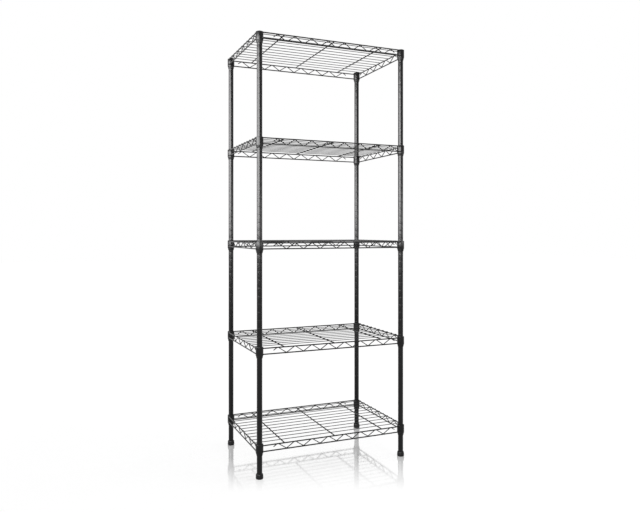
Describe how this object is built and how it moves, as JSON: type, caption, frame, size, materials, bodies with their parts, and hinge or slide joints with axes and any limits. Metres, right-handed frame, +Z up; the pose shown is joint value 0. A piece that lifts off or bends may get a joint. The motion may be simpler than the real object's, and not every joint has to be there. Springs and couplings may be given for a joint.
{
  "type": "wire shelving unit",
  "caption": "Free-standing wire shelving unit: round posts with levelling feet carry welded wire shelves with zigzag-trussed edges, wedged on tapered split sleeves.",
  "frame": {"origin": "on the floor, midway between the four feet", "axes": "+Z up along the posts, +X to the right along the long sides, +Y to the back; the front faces -Y"},
  "size_m": [0.54, 0.345, 1.4049],
  "materials": {
    "coated_steel": "semi-gloss black powder coat",
    "black_plastic": "moulded, matte",
    "zinc_steel": "zinc plated"
  },
  "bodies": {
    "frame": {"shelf_1_split_sleeves": "black_plastic", "shelf_2_split_sleeves": "black_plastic", "shelf_3_split_sleeves": "black_plastic", "shelf_4_split_sleeves": "black_plastic", "shelf_5_split_sleeves": "black_plastic", "front_left_lower_post": "coated_steel", "front_left_upper_post": "coated_steel", "front_right_lower_post": "coated_steel", "front_right_upper_post": "coated_steel", "back_left_lower_post": "coated_steel", "back_left_upper_post": "coated_steel", "back_right_lower_post": "coated_steel", "back_right_upper_post": "coated_steel", "joint_nuts": "zinc_steel", "joint_studs": "zinc_steel", "foot_nuts": "zinc_steel", "post_caps": "black_plastic"},
    "shelf_1": {"shelf_1_collars": "coated_steel", "shelf_1_rim_wires": "coated_steel", "shelf_1_truss_wires": "coated_steel", "shelf_1_cross_wires": "coated_steel", "shelf_1_deck_wires": "coated_steel"},
    "shelf_2": {"shelf_2_collars": "coated_steel", "shelf_2_rim_wires": "coated_steel", "shelf_2_truss_wires": "coated_steel", "shelf_2_cross_wires": "coated_steel", "shelf_2_deck_wires": "coated_steel"},
    "shelf_3": {"shelf_3_collars": "coated_steel", "shelf_3_rim_wires": "coated_steel", "shelf_3_truss_wires": "coated_steel", "shelf_3_cross_wires": "coated_steel", "shelf_3_deck_wires": "coated_steel"},
    "shelf_4": {"shelf_4_collars": "coated_steel", "shelf_4_rim_wires": "coated_steel", "shelf_4_truss_wires": "coated_steel", "shelf_4_cross_wires": "coated_steel", "shelf_4_deck_wires": "coated_steel"},
    "shelf_5": {"shelf_5_collars": "coated_steel", "shelf_5_rim_wires": "coated_steel", "shelf_5_truss_wires": "coated_steel", "shelf_5_cross_wires": "coated_steel", "shelf_5_deck_wires": "coated_steel"},
    "front_left_stud": {"front_left_levelling_stud": "zinc_steel"},
    "front_left_foot": {"front_left_levelling_foot": "black_plastic"},
    "front_right_stud": {"front_right_levelling_stud": "zinc_steel"},
    "front_right_foot": {"front_right_levelling_foot": "black_plastic"},
    "back_left_stud": {"back_left_levelling_stud": "zinc_steel"},
    "back_left_foot": {"back_left_levelling_foot": "black_plastic"},
    "back_right_stud": {"back_right_levelling_stud": "zinc_steel"},
    "back_right_foot": {"back_right_levelling_foot": "black_plastic"}
  },
  "joints": [
    {"name": "shelf_1_lift", "type": "slide", "parent": "frame", "child": "shelf_1", "axis": [0, 0, 1], "range_m": [0, 0.269]},
    {"name": "shelf_2_lift", "type": "slide", "parent": "frame", "child": "shelf_2", "axis": [0, 0, 1], "range_m": [0, 0.294]},
    {"name": "shelf_3_lift", "type": "slide", "parent": "frame", "child": "shelf_3", "axis": [0, 0, 1], "range_m": [0, 0.294]},
    {"name": "shelf_4_lift", "type": "slide", "parent": "frame", "child": "shelf_4", "axis": [0, 0, 1], "range_m": [0, 0.294]},
    {"name": "shelf_5_lift", "type": "slide", "parent": "frame", "child": "shelf_5", "axis": [0, 0, 1], "range_m": [0, 0.06]},
    {"name": "front_left_stud_travel", "type": "slide", "parent": "frame", "child": "front_left_stud", "axis": [0, 0, -1], "range_m": [0, 0.015]},
    {"name": "front_left_foot_turn", "type": "hinge", "parent": "front_left_stud", "child": "front_left_foot", "pos_m": [-0.25775, -0.16025, 0], "axis": [0, 0, -1], "range_deg": [0, 4321]},
    {"name": "front_right_stud_travel", "type": "slide", "parent": "frame", "child": "front_right_stud", "axis": [0, 0, -1], "range_m": [0, 0.015]},
    {"name": "front_right_foot_turn", "type": "hinge", "parent": "front_right_stud", "child": "front_right_foot", "pos_m": [0.25775, -0.16025, 0], "axis": [0, 0, -1], "range_deg": [0, 4321]},
    {"name": "back_left_stud_travel", "type": "slide", "parent": "frame", "child": "back_left_stud", "axis": [0, 0, -1], "range_m": [0, 0.015]},
    {"name": "back_left_foot_turn", "type": "hinge", "parent": "back_left_stud", "child": "back_left_foot", "pos_m": [-0.25775, 0.16025, 0], "axis": [0, 0, -1], "range_deg": [0, 4321]},
    {"name": "back_right_stud_travel", "type": "slide", "parent": "frame", "child": "back_right_stud", "axis": [0, 0, -1], "range_m": [0, 0.015]},
    {"name": "back_right_foot_turn", "type": "hinge", "parent": "back_right_stud", "child": "back_right_foot", "pos_m": [0.25775, 0.16025, 0], "axis": [0, 0, -1], "range_deg": [0, 4321]}
  ],
  "couplings": [
    {"joint": "front_left_foot_turn", "follows": "front_left_stud_travel", "rad_per_m": 5026.5},
    {"joint": "front_right_foot_turn", "follows": "front_right_stud_travel", "rad_per_m": 5026.5},
    {"joint": "back_left_foot_turn", "follows": "back_left_stud_travel", "rad_per_m": 5026.5},
    {"joint": "back_right_foot_turn", "follows": "back_right_stud_travel", "rad_per_m": 5026.5}
  ]
}
